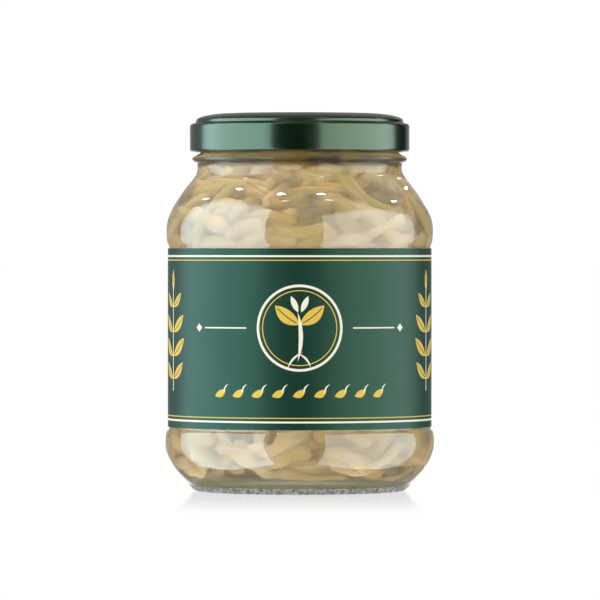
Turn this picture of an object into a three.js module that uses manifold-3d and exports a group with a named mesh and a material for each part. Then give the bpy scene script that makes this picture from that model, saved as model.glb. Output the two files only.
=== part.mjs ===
// Twist-off jar of bean sprouts in brine: glass jar, wrap label, lug cap with its sealing ring,
// a packed heap of sprouts and the brine round them.
// Millimetres, +Z up. The origin is the centre of the ring that the jar stands on; -Y is the front.

import * as THREE from 'three';
import { mergeVertices } from 'three/addons/utils/BufferGeometryUtils.js';
import Module from 'manifold-3d';

const wasm = await Module();
wasm.setup();

// ---- driving dimensions -------------------------------------------------------------------

const ROUND = 36; // flats round everything that is turned
const CORE_ROUND = 18; // flats round the hidden middle of the heap
const GAP = 0.3; // room between pieces that touch
const WELD = 0.004; // points nearer than this are one

const BODY_R = 40.5; // the bulges above and below the label
const SHOULDER_R = 40.2;
const PANEL_R = 39.0; // recess that the label lies in
const PANEL_Z = [19.0, 73.0];
const GLASS_WALL = 2.4;
const BASE_RING_R = [28.6, 31.4]; // flat ring that the jar stands on
const PUSH_UP = 2.4; // hollow under the base
const FLOOR_Z = 5.2; // inside of the base
const HEEL_Z = 14.4; // widest point of the lower bulge
const SHOULDER_Z = 78.2; // widest point of the upper bulge
const NECK_R = 30.75;
const NECK_Z = 97.0;
const BEAD_R = 32.4; // control radius of the bead under the cap
const BEAD_Z = [97.8, 100.9];
const FINISH_R = 29.6; // plain wall that carries the thread
const MOUTH_R = 27.0;
const RIM_Z = 110.6;

const LABEL_THICK = 0.3;
const LABEL_BARE_DEG = 13; // bare strip between the label's ends, at the back

const CAP_R = 33.0;
const CAP_TOP_Z = 113.0;
const CAP_BOTTOM_Z = 101.6;
const CAP_STEEL = 0.3;
const CAP_STEP_Z = 110.1; // shoulder at the top of the skirt
const CAP_PANEL_Z = 112.0;
const CAP_CREST_R = 24.6; // highest ring of the top, between the panel and the fall to the edge
const CURL = 0.8; // radius of the rolled lower edge
const BUTTON_R = 12.6; // vacuum button in the panel
const BUTTON_DROP = 0.4;

const RING_R = [26.4, 29.8]; // sealing compound in the cap's channel
const RING_DEEP = 0.7;

const LUGS = 4;
const LUG_R = 30.0; // how far in the lugs reach
const LUG_Z = [101.9, 103.3];
const LUG_HALF_WIDTH = 3.3;
const LUG_HALF_DEG = 7;

const THREAD_CREST_R = 31.0;
const THREAD_LEAD = 6.35; // rise in one full turn
const THREAD_DEG = [-10, 57]; // each thread's ends, seen from its lug when closed
const THREAD_STEPS = 11;
const THREAD_RUNOUT = 0.14; // part of a thread's length over which each end fades out

const BRINE_Z = 102.0;

const SPROUT_LAYER = 5.0; // depth of the sprouts that lie against the glass
const SPROUT_DEPTH = 4.4; // their centre lines below the glass
const STEM_R = 1.7;
const HEAD_R = 2.7; // the pair of seed leaves
const ROOT_R = 0.6;
const LANE_STEPS = 20; // equal steps along a sprout, from the root tip to the head
const SPROUT_RINGS = [ // the step that each ring of points is at, and its radius
  [0, ROOT_R],
  [4, STEM_R * 0.95],
  [9, STEM_R],
  [14, STEM_R],
  [17, HEAD_R],
  [20, HEAD_R * 0.6],
];
const STEM_SIDES = 5;
const WALL_SPROUTS = 28;
const WALL_LENGTH = [30, 46];
const WALL_TILT = 1.15; // steepest lie of a sprout at the glass, in radians
const WALL_BEND = 5; // how far its middle may stand off the straight line
const FLAT_SHARE = 0.25; // part of them that lie nearly level
const TOP_SPROUTS = 6;
const TOP_LENGTH = [24, 32];
const TOP_START_R = 20; // where their roots start
const TOP_SIDEWAYS = 9;
const TOP_LIFT = [5.5, 9]; // how high their heads are raised
const GOLDEN_ANGLE = Math.PI * (3 - Math.sqrt(5)); // spreads neighbours evenly round the jar
const HEAP_TOP_Z = 95.5;
const SLIVER = 0.05; // edges that move the heap's surface by less than this are merged away
const SPROUT_ROOM = 0.4; // how much wider than the heap its hollow in the brine is
const SEED = 13;

// ---- finishes -----------------------------------------------------------------------------

const finish = (color, roughness, metalness, opacity = 1) =>
  new THREE.MeshStandardMaterial({ color, roughness, metalness, opacity, transparent: opacity < 1 });

const clearGlass = finish(0xdfe9e0, 0.05, 0, 0.35);
const paleBrine = finish(0xe4dcae, 0.08, 0, 0.5);
const greenEnamel = finish(0x174a33, 0.3, 0.3);
const sealingCompound = finish(0xd9d6c8, 0.8, 0);
const greenPaper = finish(0x1f4a34, 0.5, 0);
const sproutFlesh = finish(0xe9e2c4, 0.45, 0);

// ---- helpers ------------------------------------------------------------------------------

// An outline in the (radius, height) half plane, drawn from line to curve like a pen plot.
class Outline {
  constructor(r, z) {
    this.points = [new THREE.Vector2(r, z)];
  }

  line(r, z) {
    this.points.push(new THREE.Vector2(r, z));
    return this;
  }

  // Bezier curve through one or two control points to the last point given.
  curve(steps, ...ends) {
    const knots = ends.map(([r, z]) => new THREE.Vector2(r, z));
    const start = this.points.at(-1);
    const bend = knots.length === 2
      ? new THREE.QuadraticBezierCurve(start, ...knots)
      : new THREE.CubicBezierCurve(start, ...knots);
    this.points.push(...bend.getPoints(steps).slice(1));
    return this;
  }
}

// A closed geometry as a manifold solid. Triangles with no area, at a pole, are left out.
function solidOf(geometry) {
  const bare = geometry.clone();
  bare.deleteAttribute('normal');
  bare.deleteAttribute('uv');
  const merged = mergeVertices(bare, WELD);
  const index = merged.index.array;
  const triangles = [];
  for (let i = 0; i < index.length; i += 3) {
    const [a, b, c] = index.slice(i, i + 3);
    if (a !== b && b !== c && c !== a) triangles.push(a, b, c);
  }
  return new wasm.Manifold(new wasm.Mesh({
    numProp: 3,
    vertProperties: new Float32Array(merged.attributes.position.array),
    triVerts: new Uint32Array(triangles),
  }));
}

// The main body alone, with its slivers merged and without loose scraps or closed-off pockets.
function cleaned(solid) {
  const merged = solidOf(geometryOf(solid.asOriginal().simplify(SLIVER)));
  return merged.decompose().sort((a, b) => b.volume() - a.volume())[0];
}

function geometryOf(solid) {
  const mesh = solid.getMesh();
  const geometry = new THREE.BufferGeometry();
  geometry.setAttribute('position', new THREE.BufferAttribute(mesh.vertProperties, 3));
  geometry.setIndex(new THREE.BufferAttribute(mesh.triVerts, 1));
  geometry.computeVertexNormals();
  return geometry;
}

function piece(name, geometry, material) {
  const mesh = new THREE.Mesh(geometry, material);
  mesh.name = name;
  return mesh;
}

// Turns an outline about Z. It runs upwards on its outer side, so it is put in that order.
function turned(points, flats = ROUND) {
  const ordered = THREE.ShapeUtils.isClockWise(points) ? [...points].reverse() : points;
  const onAxis = points[0].x === 0 && points.at(-1).x === 0;
  const closed = onAxis ? ordered : [...ordered, ordered[0]];
  return new THREE.LatheGeometry(closed, flats).rotateX(Math.PI / 2);
}

// The outline moved inwards, square to itself. It runs downwards, and a point on the axis stays
// on it.
function inset(points, distance) {
  return points.map((point, i) => {
    const before = points[Math.max(i - 1, 0)];
    const after = points[Math.min(i + 1, points.length - 1)];
    const along = new THREE.Vector2().subVectors(after, before).normalize();
    const r = point.x === 0 ? 0 : point.x + along.y * distance;
    return new THREE.Vector2(r, point.y - along.x * distance);
  });
}

// The radius of an outline at a height, the outline running downwards.
function radiusAt(points, z) {
  const i = points.findIndex((point) => point.y <= z);
  if (i <= 0) return points.at(i).x;
  const [above, below] = [points[i - 1], points[i]];
  return THREE.MathUtils.mapLinear(z, below.y, above.y, below.x, above.x);
}

// Small repeatable random numbers from 0 to 1.
function seededRandom(seed) {
  let state = seed;
  return () => {
    state = (state + 0x6d2b79f5) | 0;
    let t = Math.imul(state ^ (state >>> 15), 1 | state);
    t = (t + Math.imul(t ^ (t >>> 7), 61 | t)) ^ t;
    return ((t ^ (t >>> 14)) >>> 0) / 4294967296;
  };
}

// ---- glass jar ----------------------------------------------------------------------------

function jarOutside() {
  return new Outline(0, PUSH_UP)
    .curve(2, [BASE_RING_R[0] * 0.7, PUSH_UP], [BASE_RING_R[0], 0])
    .line(BASE_RING_R[1], 0)
    .curve(5, [34.6, 3.0], [BODY_R, 8.6], [BODY_R, HEEL_Z])
    .curve(2, [BODY_R, 16.9], [BODY_R - 0.5, PANEL_Z[0] - 0.8])
    .line(PANEL_R, PANEL_Z[0])
    .line(PANEL_R, PANEL_Z[1])
    .line(SHOULDER_R - 0.4, PANEL_Z[1] + 1.2)
    .curve(2, [SHOULDER_R, 75.4], [SHOULDER_R, SHOULDER_Z])
    .curve(5, [SHOULDER_R, 83.0], [37.2, 87.2], [32.4, 93.2])
    .curve(2, [NECK_R + 0.1, 95.2], [NECK_R, NECK_Z])
    .line(NECK_R, BEAD_Z[0])
    .curve(3, [BEAD_R, 98.2], [BEAD_R, 100.4], [FINISH_R + 0.8, BEAD_Z[1]])
    .line(FINISH_R, BEAD_Z[1] + 0.5)
    .points;
}

// From the mouth down to the middle of the floor.
function jarInside() {
  return new Outline(MOUTH_R, RIM_Z - 1.2)
    .line(MOUTH_R, 100.5)
    .curve(2, [27.2, 96.4], [30.5, 91.7])
    .curve(4, [34.8, 86.4], [SHOULDER_R - 2.45, 82.6], [SHOULDER_R - 2.45, SHOULDER_Z])
    .curve(2, [SHOULDER_R - 2.45, 75.2], [PANEL_R - GLASS_WALL, PANEL_Z[1] - 0.4])
    .line(PANEL_R - GLASS_WALL, PANEL_Z[0] + 0.4)
    .curve(2, [37.7, 17.6], [BODY_R - 2.5, HEEL_Z])
    .curve(4, [BODY_R - 2.5, 9.4], [35.6, FLOOR_Z - 0.1], [28.0, FLOOR_Z - 0.5])
    .line(0, FLOOR_Z)
    .points;
}

function jarSection() {
  const rim = new Outline(FINISH_R, RIM_Z - 1.2)
    .curve(2, [FINISH_R, RIM_Z], [(FINISH_R + MOUTH_R) / 2, RIM_Z])
    .curve(2, [MOUTH_R, RIM_Z], [MOUTH_R, RIM_Z - 1.2])
    .points;
  return [...jarOutside(), ...rim.slice(0, -1), ...jarInside()];
}

// One thread: a straight extrusion bent round the finish, climbing as it goes, faded at both ends.
function thread(lugAngle) {
  const root = FINISH_R - 0.4;
  const section = new THREE.Shape([
    new THREE.Vector2(root, 0),
    new THREE.Vector2(THREAD_CREST_R - 0.3, 0),
    new THREE.Vector2(THREAD_CREST_R, 0.35),
    new THREE.Vector2(THREAD_CREST_R, 1.1),
    new THREE.Vector2(root, 1.8),
  ]);
  const geometry = new THREE.ExtrudeGeometry(section, {
    depth: 1,
    steps: THREAD_STEPS,
    bevelEnabled: false,
  });
  const place = geometry.attributes.position;
  for (let i = 0; i < place.count; i += 1) {
    const along = 1 - place.getZ(i);
    const degrees = THREE.MathUtils.lerp(THREAD_DEG[0], THREAD_DEG[1], along);
    const fromEnd = Math.min(along, 1 - along) / THREAD_RUNOUT;
    const fade = THREE.MathUtils.lerp(0.45, 1, Math.min(fromEnd, 1));
    const r = root + (place.getX(i) - root) * fade;
    const rise = (THREAD_LEAD * (degrees + LUG_HALF_DEG)) / 360;
    const z = LUG_Z[1] + GAP + rise + place.getY(i);
    const angle = lugAngle + THREE.MathUtils.degToRad(degrees);
    place.setXYZ(i, r * Math.cos(angle), r * Math.sin(angle), z);
  }
  return geometry;
}

const lugAngles = Array.from({ length: LUGS }, (_, i) => Math.PI / 4 + (i * 2 * Math.PI) / LUGS);

function glassJar() {
  const threads = lugAngles.map((angle) => solidOf(thread(angle)));
  const jar = wasm.Manifold.union([solidOf(turned(jarSection())), ...threads]);
  return piece('glass_jar', geometryOf(jar), clearGlass);
}

// ---- label --------------------------------------------------------------------------------

function label() {
  const inner = PANEL_R + GAP;
  const outer = inner + LABEL_THICK;
  const bare = THREE.MathUtils.degToRad(LABEL_BARE_DEG / 2);
  const [start, end] = [Math.PI / 2 + bare, Math.PI * 2.5 - bare];
  const band = new THREE.Shape()
    .absarc(0, 0, outer, start, end, false)
    .absarc(0, 0, inner, end, start, true);
  const low = PANEL_Z[0] + GAP;
  const geometry = new THREE.ExtrudeGeometry(band, {
    depth: PANEL_Z[1] - GAP - low,
    curveSegments: ROUND / 2,
    bevelEnabled: false,
  });
  return piece('label', geometry.translate(0, 0, low), greenPaper);
}

// ---- cap ----------------------------------------------------------------------------------

// Pressed steel: the outer face from the middle out and down, the rolled edge, and back inside.
function capSection() {
  const riserR = 31.2;
  const t = CAP_STEEL;
  const curlR = CAP_R - CURL;
  const curlZ = CAP_BOTTOM_Z + CURL;
  return new Outline(0, CAP_PANEL_Z - BUTTON_DROP)
    .line(BUTTON_R, CAP_PANEL_Z - BUTTON_DROP)
    .line(BUTTON_R + 0.8, CAP_PANEL_Z)
    .line(CAP_CREST_R - 2.6, CAP_PANEL_Z)
    .curve(2, [CAP_CREST_R - 1.8, CAP_TOP_Z], [CAP_CREST_R, CAP_TOP_Z])
    .curve(4, [28.4, CAP_TOP_Z - 0.35], [30.5, CAP_STEP_Z + 1.65])
    .line(riserR - 0.1, CAP_STEP_Z + 1)
    .line(riserR + 0.3, CAP_STEP_Z + 0.1)
    .curve(2, [CAP_R, CAP_STEP_Z], [CAP_R, CAP_STEP_Z - 0.9])
    .line(CAP_R, curlZ)
    .curve(2, [CAP_R, CAP_BOTTOM_Z], [curlR, CAP_BOTTOM_Z])
    .curve(2, [curlR - CURL, CAP_BOTTOM_Z], [curlR - CURL, curlZ])
    .curve(2, [curlR - CURL, curlZ + CURL], [curlR, curlZ + CURL])
    .line(CAP_R - t, curlZ + CURL + 0.3)
    .line(CAP_R - t, CAP_STEP_Z - 1.0)
    .curve(2, [CAP_R - t, CAP_STEP_Z - t], [riserR + 0.3 - t, CAP_STEP_Z - t])
    .line(riserR - 0.1 - t, CAP_STEP_Z + 0.85)
    .line(30.4 - t, CAP_STEP_Z + 1.65 - t)
    .curve(4, [28.3, CAP_TOP_Z - 0.35 - t], [CAP_CREST_R, CAP_TOP_Z - t])
    .curve(2, [CAP_CREST_R - 1.6, CAP_TOP_Z - t], [CAP_CREST_R - 2.4, CAP_PANEL_Z - t])
    .line(BUTTON_R + 0.9, CAP_PANEL_Z - t)
    .line(BUTTON_R + 0.1, CAP_PANEL_Z - BUTTON_DROP - t)
    .line(0, CAP_PANEL_Z - BUTTON_DROP - t)
    .points;
}

function lug(angle) {
  const reach = [LUG_R, CAP_R - CURL];
  const size = [reach[1] - reach[0], 2 * LUG_HALF_WIDTH, LUG_Z[1] - LUG_Z[0]];
  return new THREE.BoxGeometry(...size)
    .translate((reach[0] + reach[1]) / 2, 0, (LUG_Z[0] + LUG_Z[1]) / 2)
    .rotateZ(angle);
}

function cap() {
  const lugs = lugAngles.map((angle) => solidOf(lug(angle)));
  const shell = wasm.Manifold.union([solidOf(turned(capSection())), ...lugs]);
  return piece('lid', geometryOf(shell), greenEnamel);
}

// Sealing compound flowed into the channel over the rim.
function sealingRing() {
  const [inner, outer] = RING_R;
  const low = RIM_Z + GAP;
  const section = new Outline(inner, low)
    .line(outer, low)
    .line(outer, low + RING_DEEP * 0.35)
    .curve(2, [outer - 0.9, low + RING_DEEP], [inner + 0.9, low + RING_DEEP])
    .line(inner, low + RING_DEEP * 0.7)
    .points;
  return piece('lid_gasket', turned(section), sealingCompound);
}

// ---- sprouts ------------------------------------------------------------------------------

const inside = jarInside();
const laneOutline = inset(inside, SPROUT_DEPTH);
const laneLow = laneOutline.at(-1).y + 0.1;
const random = seededRandom(SEED);
const spread = (low, high) => THREE.MathUtils.lerp(low, high, random());

// A sprout that lies against the glass: its ends run round and up the heap, in a lazy bend.
function wallLane(i) {
  const share = (i + 0.5) / WALL_SPROUTS;
  const turn = i * GOLDEN_ANGLE;
  const z = THREE.MathUtils.lerp(laneLow + 1, HEAP_TOP_Z + 1, share);
  const length = spread(...WALL_LENGTH);
  const tilt = spread(-1, 1) * WALL_TILT * (random() < 1 - FLAT_SHARE ? 1 : 0.3);
  const bend = spread(-1, 1) * WALL_BEND;
  const flip = random() < 0.5 ? -1 : 1;
  const points = [];
  for (let k = 0; k <= 4; k += 1) {
    const s = (k / 4 - 0.5) * flip;
    const sag = bend * (1 - 4 * s * s);
    const up = z + s * length * Math.sin(tilt) + sag * Math.cos(tilt);
    const height = THREE.MathUtils.clamp(up, laneLow, HEAP_TOP_Z + 2);
    const r = radiusAt(laneOutline, height);
    const angle = turn + (s * length * Math.cos(tilt) - sag * Math.sin(tilt)) / r;
    points.push(new THREE.Vector3(r * Math.cos(angle), r * Math.sin(angle), height));
  }
  return points;
}

// A sprout that lies across the top of the heap, with its head raised out of the brine.
function topLane(i) {
  const turn = (i * 2 * Math.PI) / TOP_SPROUTS + spread(-0.3, 0.3);
  const off = spread(-1, 1) * TOP_SIDEWAYS;
  const length = spread(...TOP_LENGTH);
  const lift = spread(...TOP_LIFT);
  const points = [];
  for (let k = 0; k <= 4; k += 1) {
    const s = k / 4;
    const x = TOP_START_R - s * length;
    const y = off * (1 - 0.6 * s);
    const z = HEAP_TOP_Z - 0.5 + lift * s * s;
    points.push(new THREE.Vector3(x, y, z).applyAxisAngle(new THREE.Vector3(0, 0, 1), turn));
  }
  return points;
}

// A closed cylinder bent along the lane, its rings as thick as a sprout is there.
function sprout(lane, extra) {
  const last = SPROUT_RINGS.length - 1;
  const curve = new THREE.CatmullRomCurve3(lane);
  const frames = curve.computeFrenetFrames(LANE_STEPS, false);
  const geometry = new THREE.CylinderGeometry(1, 1, 1, STEM_SIDES, last);
  const place = geometry.attributes.position;
  for (let i = 0; i < place.count; i += 1) {
    const ring = Math.round((place.getY(i) + 0.5) * last);
    const [step, ringR] = SPROUT_RINGS[ring];
    const radius = ringR + extra;
    const past = ring === 0 ? -extra : ring === last ? extra : 0;
    const at = curve.getPointAt(step / LANE_STEPS);
    at.addScaledVector(frames.tangents[step], past);
    at.addScaledVector(frames.normals[step], place.getX(i) * radius);
    at.addScaledVector(frames.binormals[step], -place.getZ(i) * radius);
    place.setXYZ(i, at.x, at.y, at.z);
  }
  return geometry;
}

// The middle of the heap, which the outer sprouts stand out of: from its domed top to its foot.
function coreOutline() {
  const edgeZ = HEAP_TOP_Z - 2;
  const wall = inset(inside, SPROUT_LAYER).filter((point) => point.y < edgeZ - 1);
  const edgeR = wall[0].x - 1.5;
  return new Outline(0, HEAP_TOP_Z)
    .curve(2, [edgeR * 0.8, HEAP_TOP_Z], [edgeR, edgeZ])
    .points.concat(wall);
}

const heapCore = (extra) => turned(inset(coreOutline(), -extra), CORE_ROUND);

const lanes = [
  ...Array.from({ length: WALL_SPROUTS }, (_, i) => wallLane(i)),
  ...Array.from({ length: TOP_SPROUTS }, (_, i) => topLane(i)),
];

function heap(extra) {
  const stems = lanes.map((lane) => solidOf(sprout(lane, extra)));
  const fused = wasm.Manifold.union([solidOf(heapCore(extra)), ...stems]);
  return cleaned(fused);
}

function sproutHeap() {
  return piece('sprouts', geometryOf(heap(0)), sproutFlesh);
}

// ---- brine --------------------------------------------------------------------------------

// The brine fills the jar up to its level, with the heap's own shape left open in it.
function brine() {
  const wall = inset(inside, GAP);
  const surfaceR = radiusAt(wall, BRINE_Z);
  const section = [
    new THREE.Vector2(0, BRINE_Z),
    new THREE.Vector2(surfaceR, BRINE_Z),
    ...wall.filter((point) => point.y < BRINE_Z),
  ];
  const liquid = solidOf(turned(section)).subtract(heap(SPROUT_ROOM));
  return piece('brine', geometryOf(cleaned(liquid)), paleBrine);
}

// ---- assembly -----------------------------------------------------------------------------

const jar = new THREE.Group();
jar.name = 'jar_of_bean_sprouts';
jar.add(glassJar(), label(), sealingRing(), cap(), sproutHeap(), brine());

export default jar;
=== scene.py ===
"""A twist-off jar of bean sprouts in brine: clear glass, a wrap label, a green lug cap, the packed
sprouts and the liquid round them. Outlines are in millimetres and meshes in metres."""

import math
import random
from contextlib import contextmanager

import bpy
from mathutils import Matrix, Vector
from mathutils.geometry import interpolate_bezier
from mathutils.kdtree import KDTree


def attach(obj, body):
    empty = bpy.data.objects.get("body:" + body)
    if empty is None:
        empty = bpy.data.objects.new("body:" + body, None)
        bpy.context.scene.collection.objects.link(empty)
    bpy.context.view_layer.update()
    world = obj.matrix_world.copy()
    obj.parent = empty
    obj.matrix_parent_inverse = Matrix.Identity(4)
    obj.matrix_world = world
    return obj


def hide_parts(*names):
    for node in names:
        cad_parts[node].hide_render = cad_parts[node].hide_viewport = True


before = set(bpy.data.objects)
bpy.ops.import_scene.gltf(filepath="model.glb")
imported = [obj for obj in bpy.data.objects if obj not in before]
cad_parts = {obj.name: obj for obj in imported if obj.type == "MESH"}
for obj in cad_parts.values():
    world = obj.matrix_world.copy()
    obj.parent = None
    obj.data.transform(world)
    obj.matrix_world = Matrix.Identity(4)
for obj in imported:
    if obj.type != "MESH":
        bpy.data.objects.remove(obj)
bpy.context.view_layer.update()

MM = 0.001
WELD = 0.01 * MM  # points nearer than this are joined
FULL_TURN = 2 * math.pi
GOLDEN = math.pi * (3 - math.sqrt(5))
WHITE = (1, 1, 1, 1)
DULL = (0.1, 0.1, 0.1, 1)

# ---- sizes, in millimetres ----------------------------------------------------------------

BODY_R = 40.5
SHOULDER_R = 40.2
PANEL_R = 39.35  # the recess under the label, a paper's thickness below it
PANEL_Z = (19.0, 73.0)
LABEL_R = 39.42
LABEL_THICK = 0.14
LABEL_Z = (19.3, 72.7)
LABEL_BARE_DEG = 13
BASE_RING_R = (28.6, 31.4)
PUSH_UP = 2.4
FLOOR_Z = 5.2
HEEL_Z = 14.4
SHOULDER_Z = 78.2
NECK_R = 30.75
NECK_Z = 97.0
BEAD_Z = (97.8, 100.9)
FINISH_R = 29.6
MOUTH_R = 27.0
RIM_Z = 110.6
BRINE_Z = 102.0

CAP_R = 33.0
CAP_TOP_Z = 113.0
CAP_BOTTOM_Z = 101.6
CAP_STEEL = 0.3
CAP_STEP_Z = 110.1
CAP_PANEL_Z = 112.0
CAP_CREST_R = 24.6
CURL = 0.8
BUTTON_R = 12.6
BUTTON_DROP = 0.4
LUGS = 4

# ---- modelling helpers --------------------------------------------------------------------


class Outline:
    """A cut through a turned piece: (radius, height) points in millimetres."""

    def __init__(self, r, z):
        self.points = [(r, z)]

    def line(self, r, z):
        self.points.append((r, z))
        return self

    def curve(self, steps, *ends):
        """A Bezier curve through one or two control points to the last point given."""
        start = Vector(self.points[-1])
        knots = [Vector(p) for p in ends]
        end = knots[-1]
        if len(knots) == 2:
            handles = [start.lerp(knots[0], 2 / 3), end.lerp(knots[0], 2 / 3)]
        else:
            handles = knots[:2]
        made = interpolate_bezier(start, *handles, end, steps + 1)
        self.points += [tuple(p) for p in made[1:]]
        return self


def only(obj):
    """Makes one object the only one selected, and the active one."""
    bpy.ops.object.select_all(action="DESELECT")
    obj.select_set(True)
    bpy.context.view_layer.objects.active = obj


@contextmanager
def editing(obj):
    """Edit mode on one object, with all of its mesh selected."""
    only(obj)
    bpy.ops.object.mode_set(mode="EDIT")
    bpy.ops.mesh.select_all(action="SELECT")
    yield
    bpy.ops.object.mode_set(mode="OBJECT")


def weld(fill=False):
    """In edit mode: joins doubled points, fills holes if asked to, and turns all faces out."""
    bpy.ops.mesh.select_all(action="SELECT")
    bpy.ops.mesh.remove_doubles(threshold=WELD)
    if fill:
        bpy.ops.mesh.fill_holes(sides=0)
    bpy.ops.mesh.select_all(action="SELECT")
    bpy.ops.mesh.normals_make_consistent(inside=False)


def drawn(name, points, start=0.0):
    """An outline drawn point by point, at one bearing from the jar's axis."""
    bpy.ops.mesh.primitive_plane_add(size=MM)
    obj = bpy.context.object
    obj.name = obj.data.name = name
    places = [Vector((r * math.cos(start), r * math.sin(start), z)) * MM for r, z in points]
    with editing(obj):
        bpy.ops.mesh.merge(type="CENTER")
        bpy.ops.transform.translate(value=places[0])
        for here, there in zip(places, places[1:]):
            bpy.ops.mesh.extrude_vertices_move(TRANSFORM_OT_translate={"value": there - here})
    return obj


def turned(name, points, steps, turn=FULL_TURN, start=0.0):
    """An outline spun about the jar's axis."""
    obj = drawn(name, points, start)
    with editing(obj):
        bpy.ops.mesh.spin(steps=steps, angle=turn, center=(0, 0, 0), axis=(0, 0, 1))
        weld()
    return obj


def applied(obj, modifier):
    only(obj)
    bpy.ops.object.modifier_apply(modifier=modifier.name)


def dressed(obj, degrees, *materials):
    """Shades a piece smooth up to an angle and gives it its materials."""
    only(obj)
    bpy.ops.object.shade_smooth_by_angle(angle=math.radians(degrees))
    for material in materials:
        obj.data.materials.append(material)
    return obj


def settle(obj):
    """Puts an object's place into its mesh."""
    only(obj)
    bpy.ops.object.transform_apply(location=True, rotation=True, scale=True)


def joined(name, objs):
    only(objs[0])
    for obj in objs:
        obj.select_set(True)
    bpy.ops.object.join()
    obj = bpy.context.object
    obj.name = obj.data.name = name
    settle(obj)
    return obj


def marked(mesh, **numbers):
    """Keeps named numbers on the points of a mesh."""
    for key, values in numbers.items():
        mesh.attributes.new(key, "FLOAT", "POINT").data.foreach_set("value", values)


def around(r, turn, z):
    """The point at a radius, bearing and height."""
    return Vector((r * math.cos(turn), r * math.sin(turn), z))


def polar(co):
    """The radius, bearing and height of a place in a mesh, in millimetres and radians."""
    return math.hypot(co.x, co.y) / MM, math.atan2(co.y, co.x), co.z / MM


def progress(number, low, high):
    """How far a number is on its way from low to high, from 0 to 1."""
    return min(max((number - low) / (high - low), 0.0), 1.0)


def widened(co, scale):
    """Moves a point of a mesh away from the axis, or towards it."""
    co.x *= scale
    co.y *= scale


# ---- outlines of the jar ------------------------------------------------------------------


def jar_inside(fine=1):
    """From the mouth down to the middle of the floor."""
    bulge = SHOULDER_R - 2.45
    return (
        Outline(MOUTH_R, RIM_Z - 1.2)
        .line(MOUTH_R, 100.5)
        .curve(2 * fine, (27.2, 96.4), (30.5, 91.7))
        .curve(4 * fine, (34.8, 86.4), (bulge, 82.6), (bulge, SHOULDER_Z))
        .curve(2 * fine, (bulge, 75.2), (36.6, PANEL_Z[1] - 0.4))
        .line(36.6, PANEL_Z[0] + 0.4)
        .curve(2 * fine, (37.7, 17.6), (BODY_R - 2.5, HEEL_Z))
        .curve(4 * fine, (BODY_R - 2.5, 9.4), (35.6, FLOOR_Z - 0.1), (28.0, FLOOR_Z - 0.5))
        .line(0, FLOOR_Z)
        .points
    )


def jar_outside():
    """From the middle of the hollow base up to the cap's seal."""
    return (
        Outline(0, PUSH_UP)
        .curve(8, (BASE_RING_R[0] * 0.7, PUSH_UP), (BASE_RING_R[0], 0))
        .line(BASE_RING_R[1] - 0.5, 0)
        .curve(3, (BASE_RING_R[1], 0), (BASE_RING_R[1] + 0.35, 0.5))
        .line(32.35, 1.15)
        .line(33.0, 1.8)
        .curve(14, (35.2, 3.7), (BODY_R, 8.6), (BODY_R, HEEL_Z))
        .curve(6, (BODY_R, 16.9), (BODY_R - 0.45, PANEL_Z[0] - 0.8))
        .curve(4, (PANEL_R + 0.15, PANEL_Z[0] - 0.3), (PANEL_R, PANEL_Z[0] + 0.2))
        .line(PANEL_R, PANEL_Z[1] - 0.2)
        .curve(4, (PANEL_R + 0.1, PANEL_Z[1] + 0.2), (SHOULDER_R - 0.35, PANEL_Z[1] + 1.1))
        .curve(5, (SHOULDER_R, 75.2), (SHOULDER_R, SHOULDER_Z))
        .curve(16, (SHOULDER_R, 83.0), (37.2, 87.2), (32.4, 93.2))
        .curve(7, (NECK_R, 95.2), (NECK_R, NECK_Z))
        .curve(3, (NECK_R, 97.7), (NECK_R + 0.35, BEAD_Z[0] + 0.3))
        .curve(10, (32.9, 99.0), (32.8, 100.1), (FINISH_R + 1.0, BEAD_Z[1] - 0.1))
        .curve(3, (FINISH_R, 101.1), (FINISH_R, BEAD_Z[1] + 1.0))
        .points
    )


def rim():
    return (
        Outline(FINISH_R, RIM_Z - 1.2)
        .curve(6, (FINISH_R, RIM_Z), ((FINISH_R + MOUTH_R) / 2, RIM_Z))
        .curve(6, (MOUTH_R, RIM_Z), (MOUTH_R, RIM_Z - 1.2))
        .points
    )


def inset(points, distance):
    """An outline that runs downwards, moved inwards square to itself."""
    moved = []
    for i, (r, z) in enumerate(points):
        before, after = points[max(i - 1, 0)], points[min(i + 1, len(points) - 1)]
        along = (Vector(after) - Vector(before)).normalized()
        moved.append((0 if r == 0 else r + along.y * distance, z - along.x * distance))
    return moved


def radius_at(points, z):
    """The radius at a height of an outline that runs downwards."""
    for above, below in zip(points, points[1:]):
        if below[1] <= z <= above[1]:
            share = (z - below[1]) / max(above[1] - below[1], 1e-9)
            return below[0] + (above[0] - below[0]) * share
    return points[0][0] if z > points[0][1] else points[-1][0]


def height_at(points, r):
    """The height at a radius of an outline that runs outwards."""
    for inner, outer in zip(points, points[1:]):
        if inner[0] <= r <= outer[0]:
            share = (r - inner[0]) / max(outer[0] - inner[0], 1e-9)
            return inner[1] + (outer[1] - inner[1]) * share
    return points[-1][1]


INSIDE = jar_inside()
INSIDE_FINE = jar_inside(4)

# ---- node helpers -------------------------------------------------------------------------


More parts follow.
